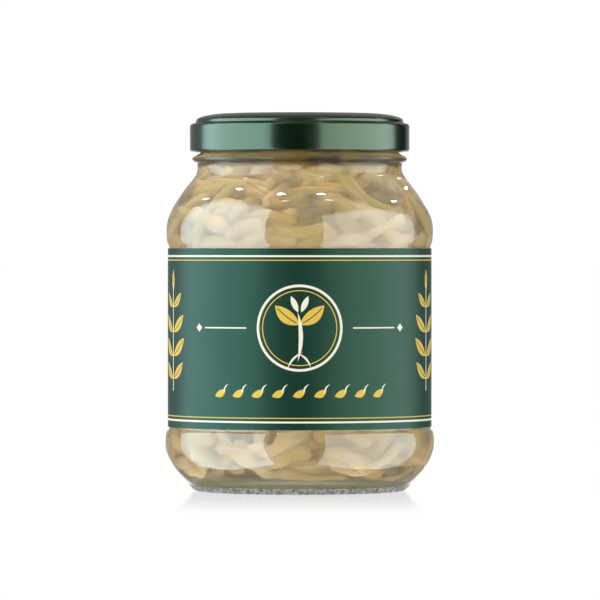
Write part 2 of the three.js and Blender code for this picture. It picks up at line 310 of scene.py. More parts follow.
class Field:
    """A number that changes over a surface, worked out by Math nodes."""

    def __init__(self, tree, socket):
        self.tree, self.socket = tree, socket

    def math(self, operation, *others):
        made = self.tree.nodes.new("ShaderNodeMath")
        made.operation = operation
        for place, value in zip(made.inputs, (self, *others)):
            if isinstance(value, Field):
                self.tree.links.new(value.socket, place)
            else:
                place.default_value = value
        return Field(self.tree, made.outputs[0])

    def __add__(self, other):
        return self.math("ADD", other)

    def __sub__(self, other):
        return self.math("SUBTRACT", other)

    def __mul__(self, other):
        return self.math("MULTIPLY", other)

    def __truediv__(self, other):
        return self.math("DIVIDE", other)

    def most(self, other):
        return self.math("MAXIMUM", other)

    def size(self):
        return self.math("ABSOLUTE")

    def fade(self, low, high, out=(0.0, 1.0)):
        """Goes smoothly from one value to the other as the number goes from low to high."""
        made = self.tree.nodes.new("ShaderNodeMapRange")
        made.interpolation_type = "SMOOTHSTEP"
        self.tree.links.new(self.socket, made.inputs["Value"])
        for name, value in zip(("From Min", "From Max", "To Min", "To Max"), (low, high, *out)):
            made.inputs[name].default_value = value
        return Field(self.tree, made.outputs["Result"])

    def below(self, edge, soft=0.06):
        """One where the number is under an edge, with a soft step there."""
        return self.fade(edge - soft, edge + soft, (1.0, 0.0))


class Nodes:
    """A node tree under construction."""

    def __init__(self, tree):
        self.tree = tree

    def feed(self, socket, value):
        if isinstance(value, Field):
            value = value.socket
        if isinstance(value, bpy.types.NodeSocket):
            self.tree.links.new(value, socket)
        else:
            socket.default_value = value

    def node(self, kind, group=None, **inputs):
        made = self.tree.nodes.new(kind)
        if group:
            made.node_tree = group
        for key, value in inputs.items():
            self.feed(made.inputs[key.replace("_", " ")], value)
        return made

    def fields(self, made, *outputs):
        """The numbers that come out of a node."""
        return [Field(self.tree, made.outputs[output]) for output in outputs]

    def parts(self, vector):
        """The three numbers of a vector."""
        return self.fields(self.node("ShaderNodeSeparateXYZ", Vector=vector), 0, 1, 2)

    def noise(self, vector, scale, detail=3.0, roughness=0.55):
        made = self.node("ShaderNodeTexNoise", Vector=vector, Scale=scale, Detail=detail)
        self.feed(made.inputs["Roughness"], roughness)
        return Field(self.tree, made.outputs["Fac"])

    def mixed(self, factor, low, high):
        """A colour between two others."""
        made = self.tree.nodes.new("ShaderNodeMix")
        made.data_type = "RGBA"
        for k, value in ((0, factor), (6, low), (7, high)):
            self.feed(made.inputs[k], value)
        return made.outputs[2]

    def ramp(self, factor, *stops):
        """A colour that runs through (place, colour) stops as the factor goes from 0 to 1."""
        made = self.tree.nodes.new("ShaderNodeValToRGB")
        self.feed(made.inputs[0], factor)
        elements = made.color_ramp.elements
        while len(elements) < len(stops):
            elements.new(0.5)
        for element, (place, code) in zip(elements, stops):
            element.position, element.color = place, hexed(code)
        return made.outputs[0]

    def blend(self, factor, low, high):
        """One shader mixed with another."""
        made = self.node("ShaderNodeMixShader")
        for socket, value in zip(made.inputs, (factor, low, high)):
            self.feed(socket, value)
        return made.outputs[0]


class Finish(Nodes):
    """One material: a Principled shader and the nodes that feed it."""

    def __init__(self, name, **sockets):
        self.material = bpy.data.materials.new(name)
        self.material.use_nodes = True
        super().__init__(self.material.node_tree)
        self.shader = self.tree.nodes["Principled BSDF"]
        self.out = self.tree.nodes["Material Output"].inputs
        for key, value in sockets.items():
            self.set(key.replace("_", " "), value)

    def set(self, name, value):
        self.feed(self.shader.inputs[name], value)

    def place(self):
        """Object coordinates, in millimetres."""
        scaled = self.node("ShaderNodeVectorMath")
        scaled.operation = "SCALE"
        self.feed(scaled.inputs[0], self.node("ShaderNodeTexCoord").outputs["Object"])
        scaled.inputs["Scale"].default_value = 1 / MM
        return scaled.outputs[0]

    def number(self, name):
        """A number kept on the points of the mesh."""
        made = self.node("ShaderNodeAttribute")
        made.attribute_name = name
        return Field(self.tree, made.outputs["Fac"])

    def bump(self, height, distance):
        made = self.node("ShaderNodeBump", Height=height, Distance=distance * MM, Strength=1.0)
        self.set("Normal", made.outputs["Normal"])

    def looks(self, color, roughness, height=None, distance=0.0, painted_glow=False):
        """Feeds colour, roughness and relief, and gives the material back. With a painted glow the
        colour also glows: painted light.
        """
        self.set("Base Color", color)
        if painted_glow:
            self.set("Emission Color", color)
        self.set("Roughness", roughness)
        if height is not None:
            self.bump(height, distance)
        return self.material

    def handled(self, place, scale):
        """Masks of faint smudges and of short scratches."""
        made = self.node("ShaderNodeGroup", HANDLING, Place=place, Scale=scale)
        return self.fields(made, "Smudge", "Scratch")

    def lets_lamps_through(self, tint):
        """Lamps and soft light reach what is behind the glass without being bent."""
        path = self.node("ShaderNodeLightPath")
        shadow, soft = self.fields(path, "Is Shadow Ray", "Is Diffuse Ray")
        clear = self.node("ShaderNodeBsdfTransparent", Color=tint).outputs[0]
        self.feed(self.out["Surface"], self.blend(shadow.most(soft), self.shader.outputs[0], clear))

    def absorbs(self, color, density):
        volume = self.node("ShaderNodeVolumeAbsorption", Color=color, Density=density).outputs[0]
        self.feed(self.out["Volume"], volume)
        return volume

    def clouded(self, volume, color, density):
        """Makes a liquid that absorbs a little cloudy too."""
        cloud = self.node("ShaderNodeVolumeScatter", Color=color, Density=density, Anisotropy=0.5)
        both = self.node("ShaderNodeAddShader")
        self.feed(both.inputs[0], volume)
        self.feed(both.inputs[1], cloud.outputs[0])
        self.feed(self.out["Volume"], both.outputs[0])


def hexed(code):
    """A colour written as on the web, in the shader's own linear values."""
    parts = [int(code[i : i + 2], 16) / 255 for i in (0, 2, 4)]
    linear = [c / 12.92 if c <= 0.04045 else ((c + 0.055) / 1.055) ** 2.4 for c in parts]
    return (*linear, 1.0)


def group_tree(name, ins, outs):
    """A node group with its sockets, which are plain numbers but for the Place."""
    tree = bpy.data.node_groups.new(name, "ShaderNodeTree")
    for keys, way in ((ins, "INPUT"), (outs, "OUTPUT")):
        for key in keys:
            kind = "NodeSocketVector" if key == "Place" else "NodeSocketFloat"
            tree.interface.new_socket(key, in_out=way, socket_type=kind)
    given = tree.nodes.new("NodeGroupInput").outputs
    return Nodes(tree), given, tree.nodes.new("NodeGroupOutput").inputs


def handling_group():
    """Fine marks of handling: faint smudges and short scratches, each as a mask."""
    nodes, given, out = group_tree("handling", ("Place", "Scale"), ("Smudge", "Scratch"))
    smudge = nodes.noise(given["Place"], given["Scale"], 5.0, 0.5)
    stretched = nodes.node("ShaderNodeMapping", Vector=given["Place"])
    stretched.inputs["Scale"].default_value = (1.0, 1.0, 14.0)
    stretched.inputs["Rotation"].default_value = (0.5, 0.3, 0.0)
    scratch = nodes.noise(stretched.outputs[0], 0.35, 6.0, 0.5)
    nodes.feed(out["Smudge"], smudge.fade(0.45, 0.75))
    nodes.feed(out["Scratch"], scratch.fade(0.64, 0.7))
    return nodes.tree


HANDLING = handling_group()

# ---- finishes -----------------------------------------------------------------------------


def clear_glass():
    glass = Finish("clear_glass", Base_Color=WHITE, Roughness=0.0, IOR=1.52, Transmission_Weight=1.0)
    place = glass.place()
    ripple = glass.noise(place, 0.045, 1.0) + glass.noise(place, 0.12, 1.0) * 0.25
    glass.bump(ripple, 0.35)
    # Mirrors less where marked: truly under the brine, and as painted shade on the neck and bead.
    glass.set("Specular Tint", glass.mixed(glass.number("wet"), WHITE, DULL))
    glass.absorbs((0.75, 0.9, 0.46, 1), 34.0)
    glass.lets_lamps_through((0.97, 0.985, 0.97, 1))
    return glass.material


def stippled_glass():
    """The moulded grain on the edge that the jar stands on, which scatters light. Its faint glow is
    painted light.
    """
    grain = Finish("stippled_glass", IOR=1.5, Transmission_Weight=0.5, Emission_Strength=0.03)
    speck = grain.noise(grain.place(), 0.9, 3.0)
    color = grain.mixed(speck.fade(0.35, 0.65), hexed("7d8481"), hexed("c8cbca"))
    return grain.looks(color, speck * 0.2 + 0.15, speck, 0.3, painted_glow=True)


def brine_liquid():
    """The liquid, a little cloudy, which mirrors nothing where it wets the glass."""
    liquid = Finish(
        "brine_liquid",
        Base_Color=WHITE,
        Roughness=0.32,
        IOR=1.34,
        Specular_Tint=DULL,
        Transmission_Weight=1.0,
    )
    liquid.bump(liquid.noise(liquid.place(), 0.05, 0.0), 0.1)
    yellowed = liquid.absorbs((0.93, 0.76, 0.42, 1), 26.0)
    liquid.clouded(yellowed, (1.0, 0.89, 0.62, 1), 170.0)
    liquid.lets_lamps_through((0.99, 0.98, 0.94, 1))
    return liquid.material


def air_bubble():
    """Air in the liquid, its rim painted dark where it is seen edge-on: painted shade for the light the
    rim bends away.
    """
    air = Finish("air_bubble", Roughness=0.0, IOR=0.76, Transmission_Weight=1.0)
    (edge,) = air.fields(air.node("ShaderNodeLayerWeight", Blend=0.5), "Facing")
    air.set("Base Color", air.mixed(edge.fade(0.6, 0.9), WHITE, hexed("6b5c33")))
    air.bump(air.noise(air.place(), 0.3, 0.0), 0.02)
    air.lets_lamps_through(WHITE)
    return air.material


def green_enamel():
    enamel = Finish(
        "green_enamel",
        IOR=1.6,
        Specular_Tint=(0.74, 1.0, 0.67, 1),
        Coat_Weight=0.08,
        Coat_Roughness=0.08,
    )
    place = enamel.place()
    smudge, scratch = enamel.handled(place, 0.09)
    color = enamel.mixed(enamel.noise(place, 0.06, 2.0), hexed("021507"), hexed("041a0a"))
    color = enamel.mixed(scratch * 0.06, color, hexed("3d6b55"))
    return enamel.looks(color, smudge * 0.06 + 0.2, enamel.noise(place, 0.9, 2.0), 0.012)


def two_toned(name, scale, tones, rough, depth=None, span=None, **sockets):
    """A finish that drifts between two tones, with its roughness and relief."""
    finish = Finish(name, **sockets)
    drift = finish.noise(finish.place(), scale, 4.0)
    low, high = (hexed(tone) for tone in tones)
    color = finish.mixed(drift.fade(*span) if span else drift, low, high)
    return finish.looks(color, drift * rough[0] + rough[1], depth and drift, depth)


def inner_lacquer():
    tones = ("b9a36a", "cbb67e")
    return two_toned("inner_lacquer", 0.2, tones, (0.15, 0.3), Metallic=0.35, Coat_Weight=0.3)


def sealing_compound():
    return two_toned("sealing_compound", 0.5, ("cfcbb9", "e0ddd0"), (0.2, 0.55), 0.08, IOR=1.45)


def paper_edge():
    return two_toned("paper_edge", 3.0, ("e9e6dc", "d3cfc2"), (0.2, 0.6), IOR=1.4)


def seed_coat():
    tones = ("8f8a34", "9a6f38")
    return two_toned("seed_coat", 0.5, tones, (0.2, 0.3), 0.06, (0.35, 0.7), IOR=1.1)


def shaded_top(finish, place, color):
    """Darker towards the top of the heap: painted shade, where the cap shades the sprouts."""
    high = finish.parts(place)[2].fade(HEAP_TOP_Z + 0.5, HEAP_TOP_Z + 3.0)
    return finish.mixed(high * 0.85, color, hexed("5c4722"))


def sprout_flesh():
    """Pale flesh gone tan in the brine, a little different in each sprout."""
    # The emission is painted light: a glow standing in for light that passes through the translucent
    # sprouts, which lifts the shade in the gaps.
    flesh = Finish("sprout_flesh", Specular_IOR_Level=0.0, Emission_Strength=0.58)
    place = flesh.place()
    along, across, tint = (flesh.number(key) for key in ("along", "across", "tint"))
    cloud = flesh.noise(place, 0.16, 3.0)
    lengthways = flesh.node("ShaderNodeCombineXYZ", X=across * 2.2, Y=along * 2.5, Z=tint * 90.0)
    streak = flesh.noise(lengthways.outputs[0], 1.6, 4.0)
    color = flesh.ramp(
        tint,
        (0.0, "bba482"),
        (0.4, "b49971"),
        (0.7, "a78b5b"),
        (0.84, "a29154"),
        (0.95, "a07d49"),
        (1.0, "946a39"),
    )
    near = flesh.noise(place, 0.05, 1.0)
    region = flesh.ramp(near, (0.35, "bca585"), (0.5, "af9467"), (0.65, "a68d59"))
    color = flesh.mixed(0.5, color, region)
    color = flesh.mixed(cloud.fade(0.45, 0.8) * 0.45, color, hexed("a98b5f"))
    color = flesh.mixed(streak.fade(0.48, 0.75) * 0.5, color, hexed("c2b29a"))
    color = flesh.mixed(along.fade(0.0, 0.1, (0.5, 0.0)), color, hexed("9e7e4a"))
    color = shaded_top(flesh, place, color)
    return flesh.looks(color, streak * 0.2 + 0.45, streak + cloud * 2.0, 0.12, painted_glow=True)


def seed_leaf():
    # The emission is painted light: a glow standing in for light that passes through the leaves.
    leaf = Finish("seed_leaf", Specular_IOR_Level=0.0, Emission_Strength=0.58)
    place = leaf.place()
    grain = leaf.noise(place, 2.2, 4.0)
    cloud = leaf.noise(place, 0.22, 3.0).fade(0.35, 0.7)
    color = leaf.mixed(cloud, hexed("bba579"), hexed("b2955e"))
    color = leaf.mixed(grain.fade(0.55, 0.8) * 0.35, color, hexed("a88c4d"))
    color = shaded_top(leaf, place, color)
    return leaf.looks(color, grain * 0.2 + 0.4, grain, 0.08, painted_glow=True)


def packed_middle():
    """The sprouts deeper in, seen only between the outer ones."""
    # The emission is painted light: a glow that lifts the shade of the deep sprouts, standing in for
    # light passing through the ones in front.
    deep = Finish("packed_middle", Specular_IOR_Level=0.0, Emission_Strength=0.7)
    place = deep.place()
    mapped = deep.node("ShaderNodeMapping", Vector=place)
    mapped.inputs["Scale"].default_value = (1.0, 1.0, 2.1)
    mapped.inputs["Rotation"].default_value = (0.4, 0.5, 0.0)
    wave = deep.node("ShaderNodeTexVoronoi", Scale=0.24, Vector=mapped.outputs[0])
    wave.feature = "SMOOTH_F1"
    (strand,) = deep.fields(wave, "Distance")
    cloud = deep.noise(place, 0.07, 1.0)
    color = deep.mixed(strand.fade(0.1, 0.75), hexed("d2b583"), hexed("c2a05f"))
    color = deep.mixed(cloud.fade(0.5, 0.7) * 0.5, color, hexed("c3a873"))
    color = shaded_top(deep, place, color)
    return deep.looks(color, cloud * 0.2 + 0.5, strand, -1.2, painted_glow=True)


# ---- label --------------------------------------------------------------------------------


def leaf_mark_group():
    """Two masks: a pointed leaf that lies along its own axis, and its midrib."""
    names = ("Across", "Up", "Centre Across", "Centre Up", "Angle", "Half Length", "Half Width", "Bend")
    nodes, sockets, out = group_tree("leaf_mark", names, ("Leaf", "Rib"))
    given = {key: Field(nodes.tree, sockets[key]) for key in names}
    across = given["Across"] - given["Centre Across"]
    up = given["Up"] - given["Centre Up"]
    cosine, sine = given["Angle"].math("COSINE"), given["Angle"].math("SINE")
    along = across * cosine + up * sine
    side = up * cosine - across * sine
    share = along / given["Half Length"]
    curved = side - given["Bend"] * (share * share)
    swell = (share * share) * -1.0 + 1.0
    leaf = (curved.size() - given["Half Width"] * swell).below(0.0)
    nodes.feed(out["Leaf"], leaf)
    nodes.feed(out["Rib"], curved.size().below(0.14) * share.size().below(0.8) * leaf)
    return nodes.tree


class LabelPrint:
    """The printed design, in millimetres across the label and up from its lower edge."""

    def __init__(self, finish):
        self.finish = finish
        self.leaf_tree = leaf_mark_group()
        x, y, z = finish.parts(finish.place())
        self.across = x.math("ARCTAN2", y * -1.0) * LABEL_R
        self.up = z - LABEL_Z[0]

    def leaf(self, centre, angle, half_length, half_width, bend=0.0, across=None):
        made = self.finish.node(
            "ShaderNodeGroup",
            self.leaf_tree,
            Across=across or self.across,
            Up=self.up,
            Centre_Across=centre[0],
            Centre_Up=centre[1],
            Angle=math.radians(angle),
            Half_Length=half_length,
            Half_Width=half_width,
            Bend=bend,
        )
        return self.finish.fields(made, "Leaf", "Rib")

    def ring(self, centre, radius, width):
        dx, dy = self.across - centre[0], self.up - centre[1]
        return ((dx * dx + dy * dy).math("SQRT") - radius).size().below(width / 2)

    def stripe(self, height, width):
        return (self.up - height).size().below(width / 2)

    def repeat(self, pitch):
        """The place within each of a row of equal stretches, measured from its middle."""
        turns = (self.across / pitch + 100.5).math("FRACT")
        return (turns - 0.5) * pitch


LABEL_HIGH = LABEL_Z[1] - LABEL_Z[0]
MEDAL = (0.0, 30.0)
MEDAL_R = 12.4


def label_masks(art):
    """Cream and gold areas of the print."""
    cream = art.stripe(2.3, 0.55).most(art.stripe(LABEL_HIGH - 2.3, 0.55))
    gold = art.stripe(3.5, 0.28).most(art.stripe(LABEL_HIGH - 3.5, 0.28))
    cream = cream.most(art.ring(MEDAL, MEDAL_R, 0.75))
    gold = gold.most(art.ring(MEDAL, MEDAL_R - 1.4, 0.28))
    # a seedling in the ring: two seed leaves and two small true leaves on a stem
    for side in (-1, 1):
        broad, rib = art.leaf((side * 3.9, 33.4), 90 - side * 52, 4.6, 1.95, side * 0.5)
        gold = gold.most(broad - rib)
        small, _ = art.leaf((side * 1.5, 37.0), 90 - side * 24, 2.6, 0.85)
        cream = cream.most(small)
    stem, _ = art.leaf((0.35, 27.4), 90, 7.2, 0.62, 0.9)
    cream = cream.most(stem)
    for side, length in ((-1, 3.4), (1, 2.8)):
        root, _ = art.leaf((side * 1.9, 20.9), 90 + side * 42, length, 0.3, side * 0.7)
        cream = cream.most(root)
    # rules with a lozenge, left and right of the ring
    wide = art.across.size()
    rule = (art.up - MEDAL[1]).size().below(0.2) * (wide - 23.5).size().below(7.4)
    lozenge = (wide - 33.4).size() + (art.up - MEDAL[1]).size()
    cream = cream.most(rule).most(lozenge.below(1.25))
    # a row of small beans under the ring
    step = art.repeat(6.2)
    bean, _ = art.leaf((0.0, 10.6), 28, 2.1, 1.05, 0.35, across=step)
    tail, _ = art.leaf((1.5, 12.3), 62, 1.7, 0.22, -0.6, across=step)
    row = wide.below(28.2)
    gold = gold.most(bean * row)
    cream = cream.most(tail * row)
    # upright sprigs further round, every 72 degrees away from the ring
    sprig = art.repeat(FULL_TURN * LABEL_R / 5)
    away = wide.fade(24.0, 24.2)
    twig = sprig.size().below(0.28) * (art.up - 27.0).size().below(16.0)
    cream = cream.most(twig * away)
    for row_up, grow in ((14.5, 1.0), (21.5, 1.1), (28.5, 1.05), (35.5, 0.85)):
        for side in (-1, 1):
            spot = (side * 4.1 * grow, row_up + 2.2)
            blade, rib = art.leaf(spot, 90 - side * 55, 4.3 * grow, 1.45 * grow, side * 0.5, sprig)
            gold = gold.most((blade - rib) * away)
    tip, rib = art.leaf((0.0, 44.0), 90, 3.2, 1.1, 0.0, sprig)
    gold = gold.most((tip - rib) * away)
    return cream, gold


def printed_paper():
    paper = Finish("printed_paper", IOR=1.34, Specular_Tint=(0.56, 1.0, 0.74, 1))
    cream, gold = label_masks(LabelPrint(paper))
    place = paper.place()
    fibre = paper.noise(place, 2.6, 5.0, 0.7)
    smudge, _ = paper.handled(place, 0.07)
    green = paper.mixed(paper.noise(place, 0.05, 2.0), hexed("0a261b"), hexed("0d2c20"))
    green = paper.mixed(fibre.fade(0.3, 0.8) * 0.35, green, hexed("133627"))
    color = paper.mixed(gold * 0.96, green, hexed("e0bd4c"))
    color = paper.mixed(cream * 0.97, color, hexed("f1ecd9"))
    relief = fibre * 0.5 + cream.most(gold) * 0.35
    return paper.looks(color, fibre * 0.1 + smudge * 0.06 + 0.36, relief, 0.03)


# ---- glass jar ----------------------------------------------------------------------------

JAR_STEPS = 432
KNURL_Z = (0.3, 2.0)
KNURL_DEEP = 0.3
SEAM_HIGH = 0.05
LEAST_WALL = 1.5  # further out than this from the inner face is the outer one
NECK_PAINTED_DULL = (0.62, 0.93)  # how little the outside of the neck and of the bead mirrors, dimmed as painted shade
NECK_FADE_Z = (90.0, 93.0)
BEAD_FADE_Z = (BEAD_Z[0] - 0.8, BEAD_Z[0] + 0.2)
BRINE_GAP = 0.05  # how far the liquid reaches into the wall
MENISCUS = (2.6, 0.7)  # how far from the glass it starts to rise, and how high it does


def glass_jar(material, stipple):
    outline = jar_outside() + [(FINISH_R, RIM_Z - 1.6)] + rim()[:-1] + INSIDE_FINE
    jar = turned("glass_jar_clear", outline, JAR_STEPS)
    knurl(jar)
    mark_wet_and_painted_dull(jar)
    dressed(jar, 50, material, stipple)
    for face in jar.data.polygons:
        r, _, z = polar(face.center)
        if z < KNURL_Z[1] and r > BASE_RING_R[0] - 2:
            face.material_index = 1
    threads = [dressed(thread(i), 50, material) for i in range(LUGS)]
    return joined("glass_jar_clear", [jar, *threads])


def knurl(jar):
    """Presses a ring of small dimples into the edge that the jar stands on, and two mould seams."""
    for point in jar.data.vertices:
        r, turn, z = polar(point.co)
        if r <= BASE_RING_R[1] or z >= BEAD_Z[0]:
            continue
        step = round(turn / FULL_TURN * JAR_STEPS)
        push = 0.0
        if KNURL_Z[0] < z < KNURL_Z[1]:
            push = -KNURL_DEEP if step % 3 == 0 else KNURL_DEEP * 0.5
        elif z > KNURL_Z[1] and step % (JAR_STEPS // 2) == 0:
            push = SEAM_HIGH if r > radius_at(INSIDE_FINE, z) + LEAST_WALL else 0.0
        if push:
            widened(point.co, 1 + push / r)


def mark_wet_and_painted_dull(jar):
    """Marks where the glass mirrors little: its inner wall, wet under the brine, and in part its neck
    and bead, where the dimming is painted shade.
    """
    wet = []
    for point in jar.data.vertices:
        r, _, z = polar(point.co)
        under = FLOOR_Z - 0.8 < z < BRINE_Z and r < radius_at(INSIDE_FINE, z) + 0.1
        painted_dull = 0.0
        if z < CAP_BOTTOM_Z:
            painted_dull = NECK_PAINTED_DULL[0] * progress(z, *NECK_FADE_Z)
            painted_dull += (NECK_PAINTED_DULL[1] - NECK_PAINTED_DULL[0]) * progress(z, *BEAD_FADE_Z)
        wet.append(1.0 if under else painted_dull)
    marked(jar.data, wet=wet)


THREAD_LEAD = 6.35
THREAD_DEG = (-10.0, 57.0)  # each thread's ends, seen from its lug when closed
THREAD_LOW = 103.6  # under side of a thread where its lug bears on it
THREAD_SECTION = ((0, -0.05), (0.9, 0), (1.3, 0.2), (1.45, 0.6), (1.3, 1.0), (0.9, 1.3), (0, 1.7))
THREAD_MIDDLE = 0.85  # height of the middle of its section
THREAD_RUNOUT = 0.14  # share of its length over which each end fades out


def thread(i):
    """One thread: its section screwed round the finish, with its ends drawn into the wall."""
    sweep = THREAD_DEG[1] - THREAD_DEG[0]
    first = FULL_TURN / 8 + i * FULL_TURN / LUGS + math.radians(THREAD_DEG[0])
    low = THREAD_LOW + THREAD_LEAD * (THREAD_DEG[0] + 7) / 360
    root = FINISH_R - 0.2
    section = [(root + out, low + up) for out, up in THREAD_SECTION]
    bar = drawn(f"thread_{i}", section + section[:1], first)
    screw = bar.modifiers.new("lead", "SCREW")
    screw.angle = math.radians(sweep)
    screw.steps = screw.render_steps = 30
    screw.screw_offset = THREAD_LEAD * sweep / 360 * MM
    screw.use_merge_vertices = True
    applied(bar, screw)
    with editing(bar):
        weld(fill=True)
    for point in bar.data.vertices:
        r, turn, z = polar(point.co)
        t = (turn - first) % FULL_TURN / math.radians(sweep)
        t = t if t < 1.5 else 0.0
        fade = min(1.0, 0.08 + max(min(t, 1 - t), 0.0) / THREAD_RUNOUT)
        middle = low + THREAD_MIDDLE + THREAD_LEAD * t * sweep / 360
        widened(point.co, (root + (r - root) * fade) / r)
        point.co.z = (middle + (z - middle) * (0.5 + 0.5 * fade)) * MM
    return bar


def brine_body(material):
    """The liquid, drawn up a little where it meets the glass, and a hair inside its wall."""
    wall = inset(INSIDE_FINE, -BRINE_GAP)
    wet = [p for p in wall if p[1] < BRINE_Z - 1.2]
    reach, rise = MENISCUS
    edge = radius_at(wall, BRINE_Z + rise)
    surface = Outline(0, BRINE_Z).line(edge - reach, BRINE_Z)
    surface.curve(5, (edge - 0.5, BRINE_Z), (edge, BRINE_Z + rise))
    return dressed(turned("brine_liquid", surface.points + wet, 160), 60, material)


# ---- label piece --------------------------------------------------------------------------

LABEL_ROWS = 18
LABEL_STEPS = 180


def label_band(face, edge):
    bare = math.radians(LABEL_BARE_DEG)
    line = [(LABEL_R, LABEL_Z[0] + LABEL_HIGH * k / LABEL_ROWS) for k in range(LABEL_ROWS + 1)]
    band = turned("label_band", line, LABEL_STEPS, FULL_TURN - bare, math.pi / 2 + bare / 2)
    dressed(band, 40, face, edge)
    skin = band.modifiers.new("paper", "SOLIDIFY")
    skin.thickness = LABEL_THICK * MM
    skin.offset = 1.0
    skin.material_offset_rim = 1
    applied(band, skin)
    return dressed(band, 40)


# ---- cap ----------------------------------------------------------------------------------

CAP_STEPS = 192


def cap_outside():
    riser, crest = 31.2, CAP_CREST_R
    return (
        Outline(0, CAP_PANEL_Z - BUTTON_DROP)
        .line(BUTTON_R - 0.6, CAP_PANEL_Z - BUTTON_DROP)
        .curve(4, (BUTTON_R + 0.1, CAP_PANEL_Z - BUTTON_DROP), (BUTTON_R + 0.4, CAP_PANEL_Z - 0.2))
        .curve(4, (BUTTON_R + 0.7, CAP_PANEL_Z), (BUTTON_R + 1.4, CAP_PANEL_Z))
        .line(crest - 3.2, CAP_PANEL_Z)
        .curve(4, (crest - 2.4, CAP_PANEL_Z), (crest - 2.0, CAP_PANEL_Z + 0.5))
        .curve(4, (crest - 1.5, CAP_TOP_Z), (crest, CAP_TOP_Z))
        .curve(8, (28.4, CAP_TOP_Z - 0.35), (30.4, CAP_STEP_Z + 1.65))
        .curve(3, (30.95, CAP_STEP_Z + 1.35), (riser - 0.05, CAP_STEP_Z + 0.95))
        .line(riser, CAP_STEP_Z + 0.4)
        .curve(4, (riser + 0.1, CAP_STEP_Z + 0.05), (riser + 0.55, CAP_STEP_Z))
        .curve(6, (CAP_R - 0.02, CAP_STEP_Z - 0.02), (CAP_R, CAP_STEP_Z - 0.95))
        .line(CAP_R, CAP_BOTTOM_Z + 1.0)
        .curve(5, (CAP_R, CAP_BOTTOM_Z), (CAP_R - 0.85, CAP_BOTTOM_Z))
        .points
    )


def cap_inside():
    t = CAP_STEEL
    curl = CAP_R - CURL
    curl_z = CAP_BOTTOM_Z + CURL
    return (
        Outline(curl - 0.05, CAP_BOTTOM_Z)
        .curve(5, (curl - CURL, CAP_BOTTOM_Z), (curl - CURL, curl_z))
        .curve(5, (curl - CURL, curl_z + CURL), (curl, curl_z + CURL))
        .curve(3, (CAP_R - t, curl_z + CURL), (CAP_R - t, curl_z + CURL + 0.5))
        .line(CAP_R - t, CAP_STEP_Z - 1.0)
        .curve(4, (CAP_R - t, CAP_STEP_Z - t), (31.5 - t, CAP_STEP_Z - t))
        .line(31.05 - t, CAP_STEP_Z + 0.9)
        .curve(6, (29.6, CAP_TOP_Z - 0.6 - t), (24.8, CAP_TOP_Z - t))
        .curve(4, (23.2, CAP_TOP_Z - t), (22.4, CAP_PANEL_Z - t))
        .line(BUTTON_R + 0.9, CAP_PANEL_Z - t)
        .line(BUTTON_R + 0.1, CAP_PANEL_Z - BUTTON_DROP - t)
        .line(0, CAP_PANEL_Z - BUTTON_DROP - t)
        .points
    )


LUG_Z = (101.9, 103.3)
LUG_IN_R = 30.0
LUG_WIDE = 6.6


def cap_lug(i, material):
    """A tongue pressed in from the rolled edge, rounded at its corners."""
    root = CAP_R - CURL
    middle = Vector(((LUG_IN_R + root) / 2, 0, sum(LUG_Z) / 2)) * MM
    bpy.ops.mesh.primitive_cube_add(size=1, location=middle)
    lug = bpy.context.object
    lug.scale = ((root - LUG_IN_R) * MM, LUG_WIDE * MM, (LUG_Z[1] - LUG_Z[0]) * MM)
    settle(lug)
    with editing(lug):
        bpy.ops.mesh.bevel(offset=0.35 * MM, segments=3, affect="EDGES")
    lug.rotation_euler.z = FULL_TURN / 8 + i * FULL_TURN / LUGS
    settle(lug)
    return dressed(lug, 50, material)


def steel_cap(enamel, lacquer):
    outside = cap_outside()
    top = [point for point in outside if point[1] > CAP_STEP_Z + 0.5]
    cap = turned("cap_enamelled", outside + cap_inside()[1:], CAP_STEPS)
    dressed(cap, 45, enamel, lacquer)
    for face in cap.data.polygons:
        r, _, z = polar(face.center)
        inwards = face.normal.z < -0.2 or face.normal.xy.dot(face.center.xy) < 0
        within = r < CAP_R - 0.15 if z < CAP_STEP_Z else z < height_at(top, r) - 0.15
        if z > LUG_Z[1] + 0.1 and within and inwards:
            face.material_index = 1
    return joined("cap_enamelled", [cap, *(cap_lug(i, enamel) for i in range(LUGS))])


# ---- bubbles ------------------------------------------------------------------------------

BUBBLES = (  # degrees round from the front, height and radius in millimetres
    (6.2, 85.4, 1.9),
    (-4.0, 92.0, 1.6),
    (44.0, 90.0, 1.7),
    (49.0, 88.8, 1.3),
    (53.5, 88.2, 0.9),
    (-21.0, 91.5, 0.6),
    (-33.0, 88.6, 0.5),
    (-47.0, 89.0, 0.5),
    (13.0, 89.8, 0.5),
    (27.0, 79.4, 0.5),
    (-12.0, 87.0, 0.6),
    (-58.0, 84.0, 0.7),
    (-66.0, 12.0, 0.6),
    (22.0, 14.5, 0.5),
    (-9.0, 11.0, 0.7),
    (71.0, 15.8, 0.6),
    (118.0, 88.0, 1.2),
    (150.0, 82.0, 0.7),
    (188.0, 90.0, 1.4),
    (232.0, 86.0, 0.9),
    (262.0, 91.0, 1.1),
)


BUBBLE_FLAT = 0.36


def bubble_place(degrees, z, size):
    """The middle of a bubble that touches the inside of the glass."""
    r = radius_at(inset(INSIDE_FINE, size * BUBBLE_FLAT + 0.08), z)
    return around(r, math.radians(degrees - 90), z)


LARGE_BUBBLES = [(bubble_place(*spot), spot[2]) for spot in BUBBLES if spot[2] > 1]


def air_bubbles(material):
    """Small bubbles that cling to the inside of the glass, pressed a little flat on it."""
    bubbles = []
    for degrees, z, size in BUBBLES:
        bpy.ops.mesh.primitive_ico_sphere_add(subdivisions=3, radius=size * MM)
        bubble = bpy.context.object
        bubble.scale = (BUBBLE_FLAT, 1.0, 1.0)
        bubble.rotation_euler.z = math.radians(degrees - 90)
        bubble.location = bubble_place(degrees, z, size) * MM
        bubbles.append(dressed(bubble, 80, material))
    return joined("air_bubbles", bubbles)


# ---- sprouts ------------------------------------------------------------------------------

